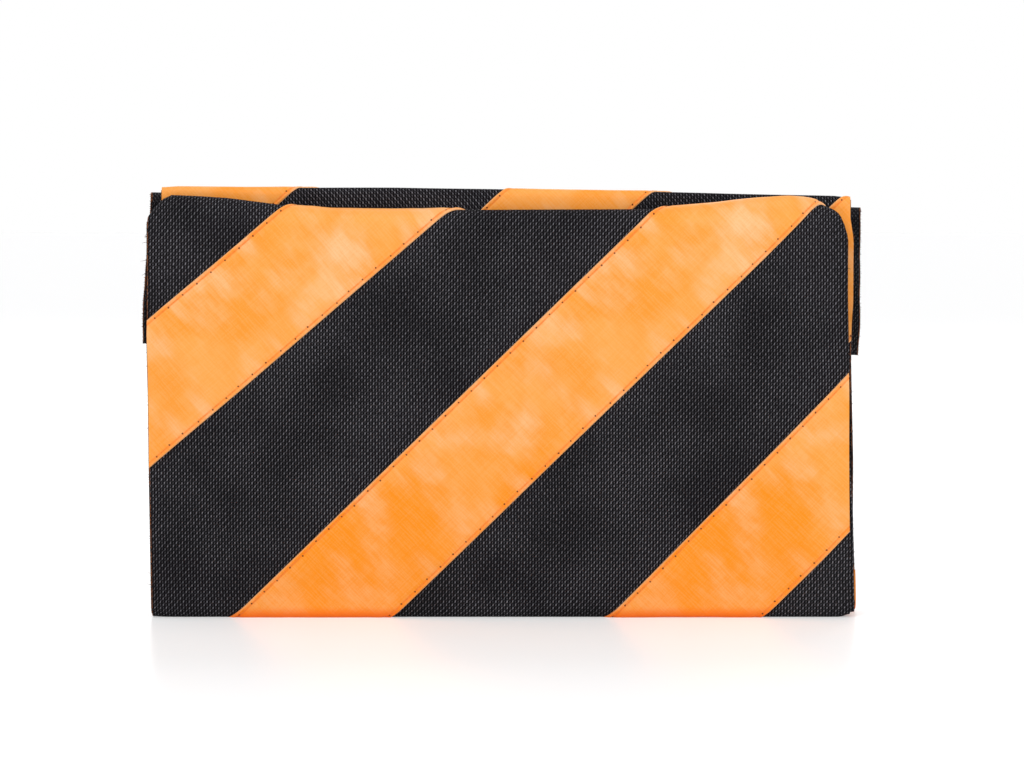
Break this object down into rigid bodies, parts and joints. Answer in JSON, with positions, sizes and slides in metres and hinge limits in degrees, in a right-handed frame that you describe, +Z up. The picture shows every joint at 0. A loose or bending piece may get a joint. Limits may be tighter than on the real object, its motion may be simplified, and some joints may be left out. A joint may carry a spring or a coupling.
{
  "type": "saddle weight bag",
  "caption": "Folded fabric saddle weight bag for holding down signs and stands, black cloth with orange diagonal hazard strips, zip pouches, closing flaps and a carrying strap.",
  "frame": {"origin": "centre of the footprint, on the plane that the bag stands on", "axes": "+X along the folds, to the right seen from the front; -Y is the front; +Z up"},
  "size_m": [0.28, 0.031, 0.165],
  "materials": {
    "black_oxford": "coarse woven, matt",
    "orange_satin": "satin woven",
    "webbing": "ribbed webbing",
    "zip_tape": "woven tape",
    "hook_and_loop": "hook and loop pile",
    "zip_plastic": "moulded",
    "zip_metal": "black nickel plated"
  },
  "bodies": {
    "front_end": {"front_end_face_cloth": "black_oxford", "front_end_zip_cloth": "black_oxford", "front_end_side_seams": "black_oxford", "front_end_strips": "orange_satin", "front_end_under_strips": "orange_satin", "front_mouth_fold": "black_oxford", "front_flap": "black_oxford", "front_loop_tape": "hook_and_loop", "front_hook_tape": "hook_and_loop", "front_zip_tapes": "zip_tape", "front_zip_teeth": "zip_plastic", "front_zip_stops": "zip_plastic"},
    "front_slider": {"front_zip_slider": "zip_metal"},
    "front_pull": {"front_zip_pull": "zip_metal"},
    "front_saddle": {"front_saddle_front_cloth": "black_oxford", "front_saddle_back_cloth": "black_oxford", "front_saddle_side_seams": "black_oxford", "front_saddle_strips": "orange_satin"},
    "rear_saddle": {"rear_saddle_front_cloth": "black_oxford", "rear_saddle_back_cloth": "black_oxford", "rear_saddle_side_seams": "black_oxford", "rear_saddle_strips": "orange_satin"},
    "rear_end": {"rear_end_face_cloth": "black_oxford", "rear_end_zip_cloth": "black_oxford", "rear_end_side_seams": "black_oxford", "rear_end_strips": "orange_satin", "rear_end_under_strips": "orange_satin", "rear_mouth_fold": "black_oxford", "rear_loop_tape": "hook_and_loop", "rear_zip_tapes": "zip_tape", "rear_zip_teeth": "zip_plastic", "rear_zip_stops": "zip_plastic"},
    "rear_flap": {"rear_flap": "black_oxford", "rear_hook_tape": "hook_and_loop"},
    "rear_slider": {"rear_zip_slider": "zip_metal"},
    "rear_pull": {"rear_zip_pull": "zip_metal"},
    "handle": {"handle": "webbing"}
  },
  "joints": [
    {"name": "front_fold", "type": "hinge", "parent": "front_saddle", "child": "front_end", "pos_m": [0, -0.00915, -0.00015], "axis": [1, 0, 0], "range_deg": [0, 179]},
    {"name": "saddle_fold", "type": "hinge", "parent": "rear_saddle", "child": "front_saddle", "pos_m": [0, -0.00015, 0.16515], "axis": [-1, 0, 0], "range_deg": [0, 179]},
    {"name": "rear_fold", "type": "hinge", "parent": "rear_saddle", "child": "rear_end", "pos_m": [0, 0.00675, -0.00015], "axis": [-1, 0, 0], "range_deg": [0, 179]},
    {"name": "rear_flap_lift", "type": "hinge", "parent": "rear_end", "child": "rear_flap", "pos_m": [0, 0.0151, 0.1567], "axis": [1, 0, 0], "range_deg": [0, 135]},
    {"name": "front_zip", "type": "slide", "parent": "front_end", "child": "front_slider", "axis": [1, 0, 0], "range_m": [0, 0.219], "deforming": ["front_zip_teeth"]},
    {"name": "rear_zip", "type": "slide", "parent": "rear_end", "child": "rear_slider", "axis": [1, 0, 0], "range_m": [0, 0.219], "deforming": ["rear_zip_teeth"]},
    {"name": "front_pull_swing", "type": "hinge", "parent": "front_slider", "child": "front_pull", "pos_m": [-0.1141, -0.00985, 0.134], "axis": [0, 1, 0], "range_deg": [-14, 14]},
    {"name": "rear_pull_swing", "type": "hinge", "parent": "rear_slider", "child": "rear_pull", "pos_m": [-0.1116, 0.01275, 0.137], "axis": [0, 1, 0], "range_deg": [-14, 14]},
    {"name": "handle_swing", "type": "hinge", "parent": "rear_saddle", "child": "handle", "pos_m": [0, -0.00015, 0.16515], "axis": [-1, 0, 0], "range_deg": [0, 90]}
  ],
  "couplings": [
    {"joint": "handle_swing", "follows": "saddle_fold", "ratio": 0.5}
  ]
}
